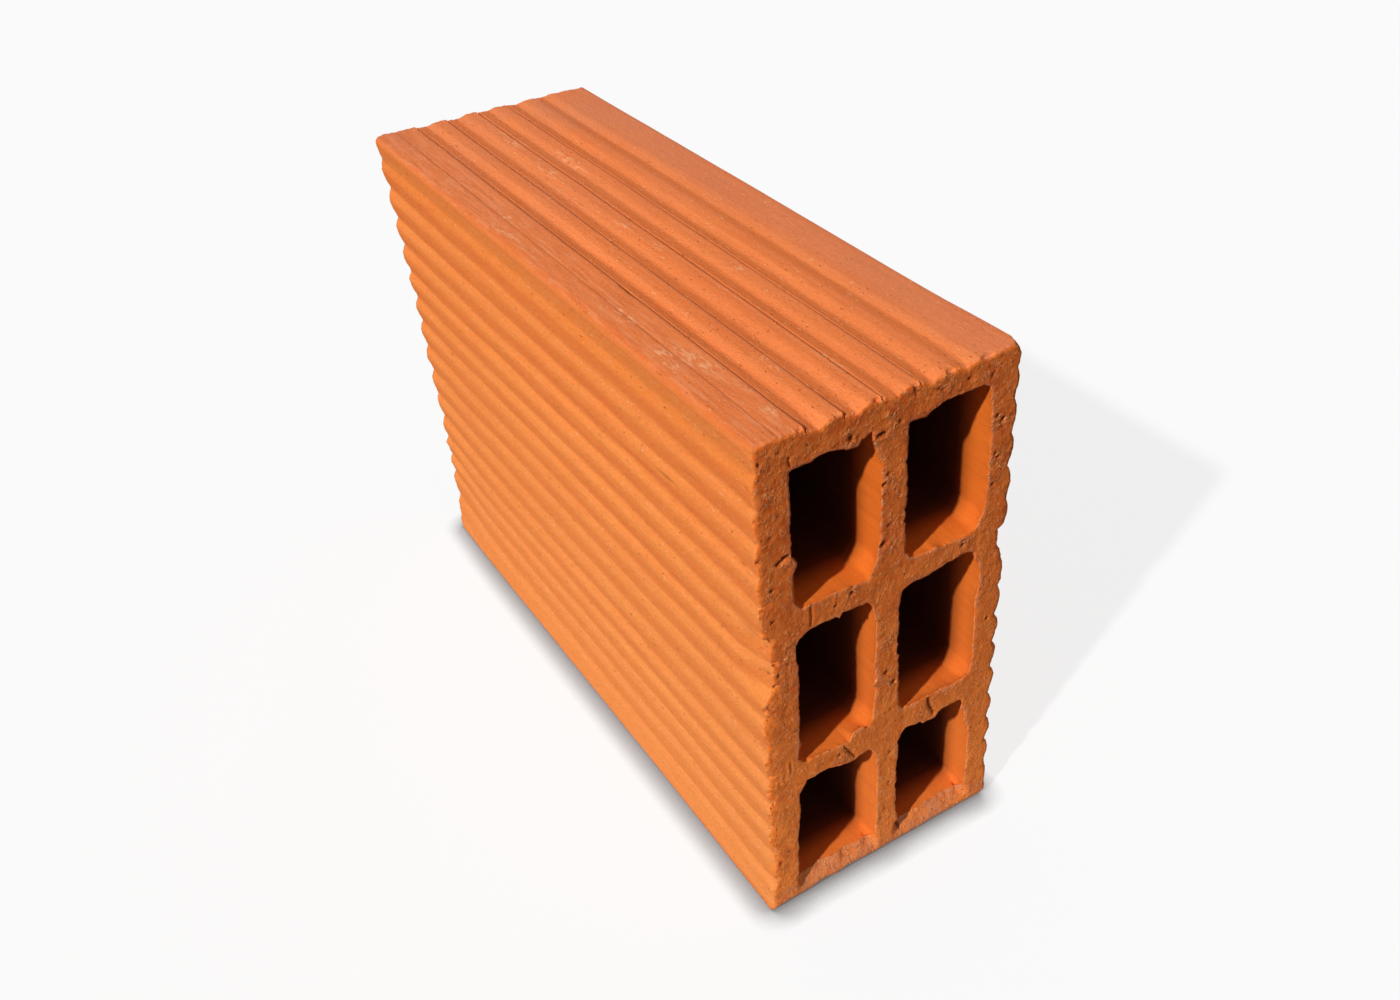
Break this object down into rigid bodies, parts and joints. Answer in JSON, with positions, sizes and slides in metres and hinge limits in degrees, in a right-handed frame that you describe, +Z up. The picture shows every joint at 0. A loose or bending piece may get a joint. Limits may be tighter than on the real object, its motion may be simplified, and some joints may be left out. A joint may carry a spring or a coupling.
{
  "type": "hollow clay brick",
  "caption": "Horizontally perforated fired-clay brick with fluted faces, grooved beds and rectangular cells running through its length.",
  "frame": {"origin": "middle of the lower bed, on the plane that the brick stands on", "axes": "+X along the length, in line with the cells, towards a wire-cut end; +Y across the thickness, towards the thinner side wall; +Z up, from the lower bed to the upper bed"},
  "size_m": [0.285, 0.097, 0.198],
  "materials": {
    "fired_clay": "unglazed orange-red fired clay, matt, with a drawn skin on the long faces and beds and rough wire-cut ends"
  },
  "bodies": {
    "root": {"hollow_brick": "fired_clay"}
  },
  "joints": []
}
